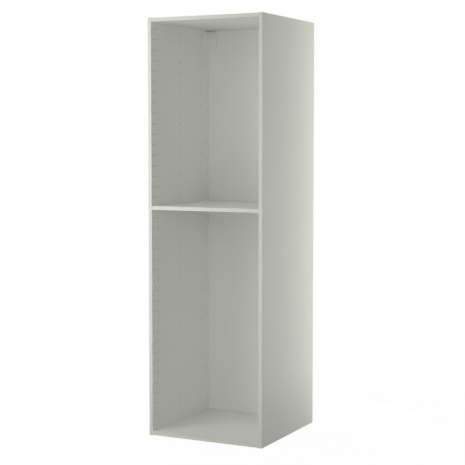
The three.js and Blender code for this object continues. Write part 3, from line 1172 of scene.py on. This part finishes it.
@dataclass
class Boards(Assembly):
    """The two sides and the three boards between them, drilled and grooved."""

    ease: float = 0.0004
    ease_segments: int = 2
    groove_gap: float = 0.0003
    groove_depth: float = 0.008
    pin_radius: float = 0.0025
    pin_depth: float = 0.012
    pin_pitch: float = 0.05
    front_column: float = 0.02
    dowel_radius: float = 0.0043
    dowel_in_side: float = 0.0103
    dowel_in_board: float = 0.0203
    pocket_depth: float = 0.013
    pocket_sides: int = 48
    bore_radius: float = 0.004

    def groove(self) -> tuple[float, float]:
        """Where the front and the rear wall of the grooves for the back are in Y."""
        sheet = box_of("upper_back_panel")
        return sheet.low.y - self.groove_gap, sheet.high.y + self.groove_gap

    def section(self, box: Box, outer: float, inner: float, grooved: bool) -> list[Point]:
        """A board's section.

        Args:
            box: The board's box.
            outer: The place of its outer face.
            inner: The place of its inner face.
            grooved: Whether the inner face has a groove for the back.

        Returns:
            The corners, each as a place in Y and one across the board.
        """
        front, rear = box.span(Axis.Y)
        corners = [(front, outer), (rear, outer), (rear, inner)]
        if grooved:
            front_wall, rear_wall = self.groove()
            floor = inner + math.copysign(self.groove_depth, outer - inner)
            corners += [(rear_wall, inner), (rear_wall, floor)]
            corners += [(front_wall, floor), (front_wall, inner)]
        return [*corners, (front, inner)]

    def blank(
        self, name: str, box: Box, along: Axis, section: Sequence[Point]
    ) -> bpy.types.Object:
        """Makes a board that isn't drilled yet.

        Args:
            name: The board's name.
            box: Its box.
            along: The axis that it runs along.
            section: Its section square to that axis.

        Returns:
            The board, foiled on both faces and, on a side, at its front and its ends.
        """
        crosses = along is Axis.X
        across = Axis.Z if crosses else Axis.X
        bare_from = box.low.y if crosses else min(self.groove())
        low, high = box.span(across)
        shape = Shape().prism(section, along, *box.span(along))
        for face in shape.mesh.faces:
            middle = face.calc_center_median()
            between = low + NEAR < middle[across.value] < high - NEAR
            face.material_index = int(between and middle.y > bare_from - NEAR)
        sharp = [Plane(Axis.Y, box.low.y), *(box.planes(Axis.X) if crosses else ())]
        shape.eased(self.ease, self.ease_segments, box.planes(*Axis), least=2, but=sharp)
        return shape.placed(name, self.shop.finishes.foil, self.shop.finishes.core)

    def side_holes(self, board: bpy.types.Object, hand: Hand) -> None:
        """Drills a side: system holes, the bracket and bolt holes between them, and dowel holes.

        Args:
            board: The side.
            hand: Which side it is.
        """
        into, row_step = (float(hand.value), 0.0, 0.0), (0.0, 0.0, self.pin_pitch)

        def bore(places: Iterable[Point], radius: float, depth: float, rows: int = 1) -> None:
            """Bores upright rows of holes that start at places in Y and Z."""
            starts = [Vector((hand.face, y, z)) for y, z in places]
            self.shop.drill(board, starts, into, radius, depth, rows, row_step)

        def places_of(nodes: Iterable[str]) -> list[Point]:
            """Where nodes have their middles in Y and Z."""
            return [(centre.y, centre.z) for centre in (box_of(node).centre for node in nodes)]

        bottom, top = box_of(hand.panel).span(Axis.Z)
        front, rear = (box_of(f"{fitting(Level.TOP, at, hand)}_cam").centre.y for at in Station)
        first = box_of(f"{hand.word}_side_edge_band").low.y + self.front_column
        starts = [(y, bottom + self.pin_pitch) for y in (first, front, (front + rear) / 2, rear)]
        bore(starts, self.pin_radius, self.pin_depth, round((top - bottom) / self.pin_pitch) - 1)

        singles = places_of(hand.screws)
        singles += [(y, bottom + top - z) for y, z in singles]
        ends = [fitting(level, at, hand) for level in (Level.TOP, Level.BOTTOM) for at in Station]
        singles += places_of(f"{end}_cam_bolt" for end in ends)
        bore(singles, self.pin_radius, self.pin_depth)

        ends = [fitting(level, at, hand) for level in Level for at in Station]
        bore(places_of(f"{end}_dowel" for end in ends), self.dowel_radius, self.dowel_in_side)

    def cross_holes(self, board: bpy.types.Object, level: Level) -> None:
        """Drills a crossing board: cam pockets in its face, bolt and dowel holes in its ends.

        Args:
            board: The board.
            level: Which board it is.
        """
        drill = self.shop.drill
        low, high = box_of(level.node)
        middle = (low.z + high.z) / 2
        mouth = high.z if level.facing > 0 else low.z

        def centre(kind: str, at: Station, hand: Hand) -> Vector:
            """The middle of one of the board's fittings."""
            return box_of(f"{fitting(level, at, hand)}_{kind}").centre

        cams = {(hand, at): centre("cam", at, hand) for hand in Hand for at in Station}
        pockets = [Vector((cam.x, cam.y, mouth)) for cam in cams.values()]
        sink = (0.0, 0.0, -float(level.facing))
        drill(board, pockets, sink, POCKET_RADIUS, self.pocket_depth, sides=self.pocket_sides)
        for hand in Hand:
            end = high.x if hand is Hand.RIGHT else low.x
            into = (-float(hand.value), 0.0, 0.0)
            bolts = [Vector((end, cams[hand, at].y, middle)) for at in Station]
            reach = abs(end - cams[hand, Station.FRONT].x)
            drill(board, bolts, into, self.bore_radius, reach)
            dowels = [Vector((end, centre("dowel", at, hand).y, middle)) for at in Station]
            drill(board, dowels, into, self.dowel_radius, self.dowel_in_board)

    def build(self) -> None:
        """Makes, drills and fits the five boards."""
        for hand in Hand:
            box = box_of(hand.panel)
            outer = box.high.x if hand is Hand.RIGHT else box.low.x
            section = [(x, y) for y, x in self.section(box, outer, hand.face, grooved=True)]
            board = self.blank(f"{hand.word}_side_board", box, Axis.Z, section)
            self.side_holes(board, hand)
            fit(board, "carcass", "melamine_board", hand.panel)
        for level in Level:
            box = box_of(level.node)
            inner, outer = box.span(Axis.Z) if level is Level.TOP else box.span(Axis.Z)[::-1]
            section = self.section(box, outer, inner, grooved=level is not Level.SHELF)
            board = self.blank(f"{level.value}_board", box, Axis.X, section)
            self.cross_holes(board, level)
            fit(board, "carcass", "melamine_board", level.node)


@dataclass
class Bands(Assembly):
    """The plastic bands on the five front edges, the crossing ones trimmed at their ends."""

    trim: float = 0.0003
    ease: float = 0.0006
    ease_segments: int = 4

    def build(self) -> None:
        """Makes and fits the bands."""
        upright = {f"{hand.word}_side": self.shop.finishes.upright_band for hand in Hand}
        crossing = {level.value: self.shop.finishes.cross_band for level in Level}
        for name, finish in {**upright, **crossing}.items():
            node = f"{name}_edge_band"
            low, high = box_of(node)
            cut = Vector((self.trim if name in crossing else 0.0, 0.0, 0.0))
            box, glued = Box(low + cut, high - cut), Plane(Axis.Y, high.y)
            shape = block(*box)
            shape.eased(self.ease, self.ease_segments, box.planes(*Axis), least=2, but=[glued])
            fit(shape.placed(f"{name}_banding", finish), "carcass", "edge_band", node)


@dataclass
class Back(Assembly):
    """The two sheets of the back and the strip that joins them."""

    slot_width: float = 0.015
    slot_height: float = 0.032
    slot_steps: int = 12
    # A face whose normal points forwards by more than this is lacquered, and the rest is bare.
    lacquer_facing: float = 0.9
    sheet_ease: float = 0.0002
    strip_wall: float = 0.001
    strip_ease: float = 0.00025
    strip_segments: int = 2

    def sheet(self, which: Sheet) -> None:
        """Makes and fits one sheet, with the wall bolts' slots in the upper one.

        Args:
            which: Which sheet.
        """
        node = f"{which.value}_back_panel"
        box = box_of(node)
        shape = block(*box).eased(self.sheet_ease, segments=1, planes=box.planes(*Axis), least=2)
        finishes = self.shop.finishes
        sheet = shape.placed(f"{which.value}_back_sheet", finishes.back_skin, finishes.back_bare)
        if which is Sheet.UPPER:
            z = box_of("left_hanger_bracket").centre.z
            through = (box.low.y - OVERRUN, box.high.y + OVERRUN)
            tools = []
            for hand in Hand:
                slot = stadium((hand.slot, z), self.slot_width, self.slot_height, self.slot_steps)
                tools.append(Shape().prism(slot, Axis.Y, *through))
            work(sheet, tools, Working.CUT)
        for face in sheet.data.polygons:
            face.material_index = int(face.normal.y > -self.lacquer_facing)
        fit(sheet, "carcass", "back_board", node)

    def strip(self) -> None:
        """Makes and fits the H-shaped strip."""
        box = box_of("back_joint_strip")
        low, high = box
        web, wall = (low.z + high.z) / 2, self.strip_wall
        lower = [
            (low.y, low.z),
            (low.y + wall, low.z),
            (low.y + wall, web - wall / 2),
            (high.y - wall, web - wall / 2),
            (high.y - wall, low.z),
            (high.y, low.z),
        ]
        outline = lower + [(y, 2 * web - z) for y, z in reversed(lower)]
        shape = Shape().prism(outline, Axis.X, *box.span(Axis.X))
        lips, cut_ends = box.planes(Axis.Z), box.planes(Axis.X)
        shape.eased(self.strip_ease, self.strip_segments, lips, but=cut_ends)
        strip = shape.placed("back_joint_extrusion", self.shop.finishes.strip)
        fit(strip, "carcass", "joint_strip", "back_joint_strip")

    def build(self) -> None:
        """Makes and fits the back."""
        for which in Sheet:
            self.sheet(which)
        self.strip()


@dataclass(frozen=True)
class Thread:
    """A coarse chipboard thread along X, between two places."""

    start: float
    end: float
    pitch: float = 0.0019
    depth: float = 0.00055
    flank: float = 2.4
    steps: int = 6

    def __call__(self, angle: float, along: float) -> float:
        """Relief below the crest.

        Args:
            angle: The angle round the screw.
            along: The place along it.

        Returns:
            How much is added to the radius.
        """
        if not self.start < along < self.end:
            return 0.0
        turn = (along / self.pitch - angle / (2 * math.pi)) % 1.0
        return -self.depth * min(1.0, self.flank * abs(turn - 0.5))

    def rings(self, radius: float) -> list[Point]:
        """The rings that a profile needs to show the thread.

        Args:
            radius: The crest's radius.

        Returns:
            Radius and place of each ring.
        """
        length = self.end - self.start
        count = round(length / self.pitch * self.steps)
        return [(radius, self.start + length * step / count) for step in range(count + 1)]


@dataclass
class Hangers(Assembly):
    """The steel brackets in the top rear corners, their screws and their covers."""

    steel: float = 0.002
    bend_radius: float = 0.003
    bend_steps: int = 6
    corner_radius: float = 0.005
    corner_segments: int = 6
    hole_radius: float = 0.0025
    slot_width: float = 0.009
    slot_height: float = 0.026
    slot_steps: int = 10
    peg_radius: float = 0.002
    peg_hole_radius: float = 0.0023
    peg_offset: float = 0.026
    head_radius: float = 0.004
    head_height: float = 0.002
    # The dome of a screw's head runs from 180 degrees, on its axis, to just short of the rim.
    dome_end: float = 100.0
    dome_steps: int = 5
    shank_radius: float = 0.0022
    screw_sides: int = 20
    recess_depth: float = 0.0013
    recess_reach: float = 0.0044
    recess_width: float = 0.0009
    projection: float = 0.008
    wall: float = 0.0016
    tip_radius: float = 0.002
    tip_steps: int = 5
    hollow_radius: float = 0.002
    rim_radius: float = 0.0012
    rim_segments: int = 3

    def corner(self, hand: Hand) -> Vector:
        """Where a side's inner face meets the back, at floor height."""
        return Vector((hand.face, box_of("upper_back_panel").low.y, 0.0))

    def outline(self, hand: Hand, points: Iterable[Point]) -> list[Point]:
        """Places points, given as distances from the side and from the back, in X and Y."""
        x, y, _ = self.corner(hand)
        return [(x - hand.value * off_side, y - off_back) for off_side, off_back in points]

    def pegs(self, hand: Hand, radius: float, start: float, end: float) -> list[Shape]:
        """Two rods where a cover's pegs stand in the holes of its bracket.

        Args:
            hand: Which corner.
            radius: The rods' radius.
            start: Where they start in Y.
            end: Where they end.

        Returns:
            The lower and the upper one.
        """
        z = box_of(f"{hand.word}_hanger_bracket").centre.z
        heights = (z - self.peg_offset, z + self.peg_offset)
        return [rod(radius, Axis.Y, (hand.slot, height), start, end) for height in heights]

    def bracket(self, hand: Hand) -> None:
        """Makes and fits a bracket.

        Args:
            hand: Which corner.
        """
        node = f"{hand.word}_hanger_bracket"
        box = box_of(node)
        low, high = box
        corner = self.corner(hand)
        side_wing, back_wing = corner.y - low.y, high.x - low.x
        bend = (self.bend_radius, self.bend_radius)
        section = [
            (0.0, side_wing),
            *arc(bend, self.bend_radius, 180, 270, self.bend_steps),
            (back_wing, 0.0),
            (back_wing, self.steel),
            *arc(bend, self.bend_radius - self.steel, 270, 180, self.bend_steps),
            (self.steel, side_wing),
        ]
        shape = Shape().prism(self.outline(hand, section), Axis.Z, *box.span(Axis.Z))
        tips = [Plane(Axis.Y, low.y), Plane(Axis.X, corner.x - hand.value * back_wing)]
        corners = [*box.planes(Axis.Z), *tips]
        shape.eased(self.corner_radius, self.corner_segments, corners, least=2)
        bracket = shape.placed(f"{hand.word}_hanger_angle", self.shop.finishes.steel)
        ends = (corner.x + hand.value * OVERRUN, corner.x - hand.value * (self.steel + OVERRUN))
        tools = []
        for screw in (box_of(name).centre for name in hand.screws):
            tools.append(rod(self.hole_radius, Axis.X, (screw.y, screw.z), *ends))
        through = (corner.y - self.steel - OVERRUN, corner.y + OVERRUN)
        middle = (hand.slot, (low.z + high.z) / 2)
        slot = stadium(middle, self.slot_width, self.slot_height, self.slot_steps)
        tools.append(Shape().prism(slot, Axis.Y, *through))
        tools += self.pegs(hand, self.peg_hole_radius, *through)
        work(bracket, tools, Working.CUT)
        smooth(bracket)
        fit(bracket, "carcass", "zinc_steel", node)

    def cover(self, hand: Hand) -> None:
        """Makes and fits a cover: an open-backed shell with two pegs.

        Args:
            hand: Which corner.
        """
        node = f"{hand.word}_hanger_cover"
        box = box_of(node)
        low, high = box
        corner = self.corner(hand)
        gap = corner.y - high.y
        side_wing, back_wing = corner.y - low.y, gap + high.x - low.x
        deep, wall, tip, hollow = self.projection, self.wall, self.tip_radius, self.hollow_radius
        section = [
            (gap, side_wing),
            *arc((deep - tip, side_wing - tip), tip, 90, 0, self.tip_steps),
            *arc((deep + hollow, deep + hollow), hollow, 180, 270, self.tip_steps),
            *arc((back_wing - tip, deep - tip), tip, 90, 0, self.tip_steps),
            (back_wing, gap),
            (gap, gap),
        ]
        shape = Shape().prism(self.outline(hand, section), Axis.Z, *box.span(Axis.Z))
        against = [Plane(Axis.X, corner.x - hand.value * gap), Plane(Axis.Y, corner.y - gap)]
        shape.eased(self.rim_radius, self.rim_segments, box.planes(Axis.Z), but=against)
        cover = shape.placed(f"{hand.word}_hanger_cap", self.shop.finishes.cover)
        inside = [
            (-OVERRUN, side_wing - wall),
            (deep - wall, side_wing - wall),
            (deep - wall, deep - wall),
            (back_wing - wall, deep - wall),
            (back_wing - wall, -OVERRUN),
            (-OVERRUN, -OVERRUN),
        ]
        cavity = self.outline(hand, inside)
        work(cover, [Shape().prism(cavity, Axis.Z, low.z + wall, high.z - wall)], Working.CUT)
        pegs = self.pegs(hand, self.peg_radius, corner.y - deep + wall / 2, corner.y - gap)
        work(cover, pegs, Working.JOIN)
        smooth(cover)
        fit(cover, node, "cover_plastic", node)

    def screw(self) -> bpy.types.Object:
        """A bracket screw along +X, with X = 0 on the side's inner face.

        Returns:
            One screw with a cross recess in its head.
        """
        face = -self.steel
        top = face - self.head_height
        tip = box_of("right_bracket_upper_screw").high.x - Hand.RIGHT.face
        thread = Thread(face + self.steel / 2, tip - self.shank_radius)
        dome = arc((0.0, 0.0), 1.0, 180, self.dome_end, self.dome_steps)
        profile = [
            (0.0, top),
            *[(self.head_radius * y, face + self.head_height * x) for x, y in dome[1:]],
            (self.head_radius, face),
            (self.shank_radius, face),
            *thread.rings(self.shank_radius),
            (self.shank_radius / 2, tip),
            (0.0, tip),
        ]
        screw = Shape().turned(profile, self.screw_sides, thread).placed("bracket_screw")
        ends = (top - OVERRUN, top + self.recess_depth)
        work(screw, cross_recess(self.recess_reach, self.recess_width, Axis.X, *ends), Working.CUT)
        return screw

    def build(self) -> None:
        """Makes and fits the brackets, their covers and their screws."""
        places, turns, nodes = [], [], []
        for hand in Hand:
            self.bracket(hand)
            self.cover(hand)
            for node in hand.screws:
                centre = box_of(node).centre
                places.append(Vector((hand.face, centre.y, centre.z)))
                turns.append(0.0 if hand is Hand.RIGHT else math.pi)
                nodes.append(node)
        steel = self.shop.finishes.steel
        screws = self.shop.set_out("bracket_screw_set", self.screw(), places, turns, steel)
        smooth(screws)
        fit(screws, "carcass", "zinc_steel", *nodes)


@dataclass
class Fittings(Assembly):
    """The cams, cam bolts and dowels at the ends of the crossing boards."""

    cam_radius: float = 0.0071
    cam_height: float = 0.0122
    cam_sunk: float = 0.0003
    cam_ease: float = 0.0005
    cam_segments: int = 3
    cam_sides: int = 48
    open_wall: float = 0.0059
    locked_wall: float = 0.0051
    drive_reach: float = 0.008
    drive_width: float = 0.0016
    drive_depth: float = 0.0025
    setback: float = 0.034
    gap: float = 0.0003
    thread_length: float = 0.011
    crest_radius: float = 0.0022
    collar_radius: float = 0.0034
    collar_length: float = 0.002
    shank_radius: float = 0.0026
    neck_radius: float = 0.0016
    head_radius: float = 0.0028
    head_steps: int = 10
    bolt_sides: int = 18
    dowel_radius: float = 0.004
    dowel_length: float = 0.03
    dowel_in_side: float = 0.01
    dowel_nose: float = 0.001
    flutes: int = 14
    flute_sides: int = 6
    flute_depth: float = 0.00035
    flute_angle: float = 25.0

    def chamber(self) -> list[Point]:
        """The outline of a cam's chamber, whose wall comes in over half a turn.

        Returns:
            The points, round the cam's axis.
        """
        steps = self.cam_sides // 2
        points = []
        for step in range(steps):
            angle = math.pi * (step / steps - 1)
            radius = self.open_wall + (self.locked_wall - self.open_wall) * step / steps
            points.append((radius * math.cos(angle), radius * math.sin(angle)))
        return points + arc((0.0, 0.0), self.locked_wall, 0, 180, steps)

    def cam(self, name: str, level: Level, hand: Hand) -> bpy.types.Object:
        """Makes one cam in the locked position, where its node is.

        Args:
            name: The start of the cam's node name.
            level: The board that holds it.
            hand: The end of the board that it is at.

        Returns:
            The finished cam.
        """
        board = box_of(level.node)
        top = (board.high.z - board.low.z) / 2 - self.cam_sunk
        bottom = top - self.cam_height
        disc = rod(self.cam_radius, Axis.Z, (0.0, 0.0), bottom, top, self.cam_sides)
        rims = [Plane(Axis.Z, bottom), Plane(Axis.Z, top)]
        disc.eased(self.cam_ease, self.cam_segments, rims)
        cam = disc.placed(f"{name}_cam_disc", self.shop.finishes.cast)
        neck, ceiling = self.neck_radius + self.gap, self.head_radius + self.gap
        reach, floor = self.cam_radius + OVERRUN, bottom - OVERRUN
        locked = math.degrees(math.asin(neck / self.locked_wall))
        sweep = arc((0.0, 0.0), reach, -180, locked, self.cam_sides // 2)
        mouth = [(-reach, -ceiling), (0.0, -ceiling), (0.0, ceiling), (-reach, ceiling)]
        ends = (top - self.drive_depth, top + OVERRUN)
        tools = [
            Shape().prism(self.chamber(), Axis.Z, floor, ceiling),
            Shape().prism([(0.0, 0.0), *sweep], Axis.Z, -neck, neck),
            Shape().prism(mouth, Axis.Z, floor, ceiling),
            *cross_recess(self.drive_reach, self.drive_width, Axis.Z, *ends),
        ]
        work(cam, tools, Working.CUT)
        centre = box_of(f"{name}_cam").centre
        place = Matrix.Translation((centre.x, centre.y, board.centre.z))
        over = Matrix.Rotation(0.0 if level.facing > 0 else math.pi, 4, "X")
        facing = Matrix.Rotation(math.pi if hand is Hand.LEFT else 0.0, 4, "Z")
        cam.data.transform(place @ over @ facing)
        smooth(cam)
        return cam

    def bolt(self) -> bpy.types.Object:
        """A cam bolt along +X, with X = 0 on the side's inner face.

        Returns:
            One bolt.
        """
        head_centre = self.setback - (self.locked_wall - self.gap - self.head_radius)
        neck_angle = math.degrees(math.asin(self.neck_radius / self.head_radius))
        shank_end = self.setback - POCKET_RADIUS - self.gap
        run_out = self.collar_length / 2
        thread = Thread(-self.thread_length + run_out, -run_out)
        ball = arc((head_centre, 0.0), self.head_radius, 180 - neck_angle, 0, self.head_steps)
        profile = [
            (0.0, -self.thread_length),
            (self.crest_radius - thread.depth, -self.thread_length),
            *thread.rings(self.crest_radius),
            (self.crest_radius, 0.0),
            (self.collar_radius, 0.0),
            (self.collar_radius, self.collar_length),
            (self.shank_radius, self.collar_length),
            (self.shank_radius, shank_end),
            (self.neck_radius, shank_end),
            *[(y, x) for x, y in ball],
        ]
        return Shape().turned(profile, self.bolt_sides, thread).placed("cam_bolt")

    def dowel(self) -> bpy.types.Object:
        """A fluted dowel along +X, with X = 0 on the side's inner face.

        Returns:
            One dowel.
        """
        start, end = -self.dowel_in_side, self.dowel_length - self.dowel_in_side
        radius, nose = self.dowel_radius, self.dowel_nose

        def fluting(angle: float, along: float) -> float:
            """Sinks the flutes between the two noses."""
            inside = start + nose / 2 < along < end - nose / 2
            return -self.flute_depth * max(0.0, math.cos(self.flutes * angle)) if inside else 0.0

        profile = [
            (0.0, start),
            (radius - nose, start),
            (radius, start + nose),
            (radius, end - nose),
            (radius - nose, end),
            (0.0, end),
        ]
        sides = self.flutes * self.flute_sides
        return Shape().turned(profile, sides, fluting).placed("dowel")

    def build(self) -> None:
        """Makes and fits the cams, the bolts and the dowels."""
        bolts, dowels, turns, ends = [], [], [], []
        for level in Level:
            middle = box_of(level.node).centre.z
            for hand in Hand:
                for at in Station:
                    end = fitting(level, at, hand)
                    node = f"{end}_cam"
                    fit(self.cam(end, level, hand), node, "cam_zinc", node)
                    for places, kind in ((bolts, "cam_bolt"), (dowels, "dowel")):
                        y = box_of(f"{end}_{kind}").centre.y
                        places.append(Vector((hand.face, y, middle)))
                    turns.append(math.pi if hand is Hand.RIGHT else 0.0)
                    ends.append(end)
        steel, beech = self.shop.finishes.steel, self.shop.finishes.beech
        bolt_set = self.shop.set_out("cam_bolt_set", self.bolt(), bolts, turns, steel)
        smooth(bolt_set)
        fit(bolt_set, "carcass", "zinc_steel", *[f"{end}_cam_bolt" for end in ends])
        dowel_set = self.shop.set_out("dowel_set", self.dowel(), dowels, turns, beech)
        smooth(dowel_set, self.flute_angle)
        fit(dowel_set, "carcass", "beech", *[f"{end}_dowel" for end in ends])


@dataclass(frozen=True)
class Softbox:
    """A large soft lamp that the camera doesn't see."""

    name: str
    place: tuple[float, float, float]
    width: float
    height: float
    power: float
    aim: tuple[float, float, float] = (0.0, 0.0, 1.1)
    colour: Colour = WHITE

    def hang(self) -> None:
        """Adds the lamp to the scene."""
        data = bpy.data.lights.new(self.name, "AREA")
        data.shape = "RECTANGLE"
        data.size = self.width
        data.size_y = self.height
        data.energy = self.power
        data.color = self.colour
        lamp = linked(self.name, data)
        lamp.location = self.place
        way = Vector(self.aim) - Vector(self.place)
        lamp.rotation_euler = way.to_track_quat("-Z", "Y").to_euler()
        lamp.visible_camera = False


@dataclass
class Studio:
    """The pale floor, the white surroundings, the lamps and the camera."""

    floor_reach: float = 40.0
    floor_thickness: float = 0.01
    floor_drop: float = 0.0002
    floor_white: float = 0.97
    floor_seen: float = 0.9
    floor_bounce: float = 0.5
    fade_start: float = 0.6
    fade_length: float = 2.4
    ambient: Colour = (0.172, 0.172, 0.172)
    camera_place: tuple[float, float, float] = (2.721, -5.422, 1.435)
    camera_azimuth: float = 26.664
    camera_pitch: float = 4.0
    camera_lens: float = 96.3
    camera_shift: float = -0.0172
    lamps: tuple[Softbox, ...] = (
        Softbox("front_fill", (1.5, -2.6, 1.2), 1.5, 1.8, 15.0),
        Softbox("left_key", (-1.377, -1.966, 1.2), 1.2, 2.4, 17.1),
        Softbox("left_near", (-0.628, -1.088, 1.536), 0.8, 1.6, 3.6),
        Softbox("front_low", (-0.336, -1.255, 0.45), 1.2, 0.8, 2.3),
        Softbox("front_overhead", (0.0, -1.379, 2.357), 1.2, 1.2, 2.4),
        Softbox(
            "right_rear_strip", (0.643, 0.766, 1.05), 0.4, 2.8, 8.3,
            aim=(0.0, 0.0, 1.05), colour=(0.97, 1.0, 0.88),
        ),
        Softbox("left_rear_fill", (-2.4, 1.6, 1.5), 1.8, 2.0, 26.0, aim=(0.0, 0.0, 1.0)),
        Softbox("rear_overhead", (-0.7, 1.1, 4.0), 1.4, 1.4, 20.0, aim=(-0.2, 0.2, 2.0)),
    )

    def seen(self, bench: Bench) -> Wire:
        """Tells the rays that show the background from those that light the object.

        Args:
            bench: The tree that asks.

        Returns:
            1 for camera, glossy and transmission rays, and 0 for the rest.
        """
        path = bench.node("ShaderNodeLightPath")
        rays = path["Is Camera Ray"] + path["Is Glossy Ray"] + path["Is Transmission Ray"]
        return rays.clipped()

    def floor(self) -> None:
        """Lays the floor, white to the eye but for the object's faint shadow, which fades."""
        material = bpy.data.materials.new("studio_floor")
        bench = Bench.emptied(material)
        seen = self.seen(bench)
        colour = bench.tint(seen, (self.floor_bounce,) * 3, (self.floor_seen,) * 3)
        lit = bench.node("ShaderNodeBsdfDiffuse", {"Color": colour})["BSDF"]
        white = {"Color": (*WHITE, 1.0), "Strength": 1.0}
        glow = bench.node("ShaderNodeEmission", white)["Emission"]
        away = bench.node("ShaderNodeVectorMath", {0: bench.place}, operation="LENGTH")["Value"]
        fade = ((away - self.fade_start) / self.fade_length).clipped()
        share = seen * (self.floor_white + fade * (1 - self.floor_white))
        mixed = bench.node("ShaderNodeMixShader", {0: share, 1: lit, 2: glow})["Shader"]
        bench.node("ShaderNodeOutputMaterial", {"Surface": mixed})
        reach, under = self.floor_reach, -self.floor_thickness
        floor = block((-reach, -reach, under), (reach, reach, -self.floor_drop))
        floor.placed("studio_floor", material)

    def surroundings(self) -> None:
        """Surrounds the object with even light, and with white for the eye."""
        world = bpy.data.worlds.new("studio")
        bench = Bench.emptied(world)
        glow = {"Color": bench.tint(self.seen(bench), self.ambient, WHITE), "Strength": 1.0}
        ground = bench.node("ShaderNodeBackground", glow)["Background"]
        bench.node("ShaderNodeOutputWorld", {"Surface": ground})
        bpy.context.scene.world = world

    def camera(self) -> None:
        """Puts the camera at the photograph's viewpoint."""
        data = bpy.data.cameras.new("camera")
        data.lens = self.camera_lens
        data.shift_y = self.camera_shift
        camera = linked("camera", data)
        camera.location = self.camera_place
        pitch = math.radians(90 - self.camera_pitch)
        camera.rotation_euler = (pitch, 0.0, math.radians(self.camera_azimuth))
        bpy.context.scene.camera = camera

    def build(self) -> None:
        """Sets the studio up."""
        self.floor()
        self.surroundings()
        for lamp in self.lamps:
            lamp.hang()
        self.camera()
        bpy.context.scene.view_settings.view_transform = "Standard"


def main() -> None:
    """Builds the cabinet's sub-assemblies in order, then the studio around them."""
    logging.basicConfig(level=logging.INFO, format="%(message)s")
    shop = Workshop()
    for assembly in (Boards(shop), Bands(shop), Back(shop), Hangers(shop), Fittings(shop)):
        log.info("building %s", type(assembly).__name__.lower())
        assembly.build()
    Studio().build()


if __name__ == "__main__":
    main()
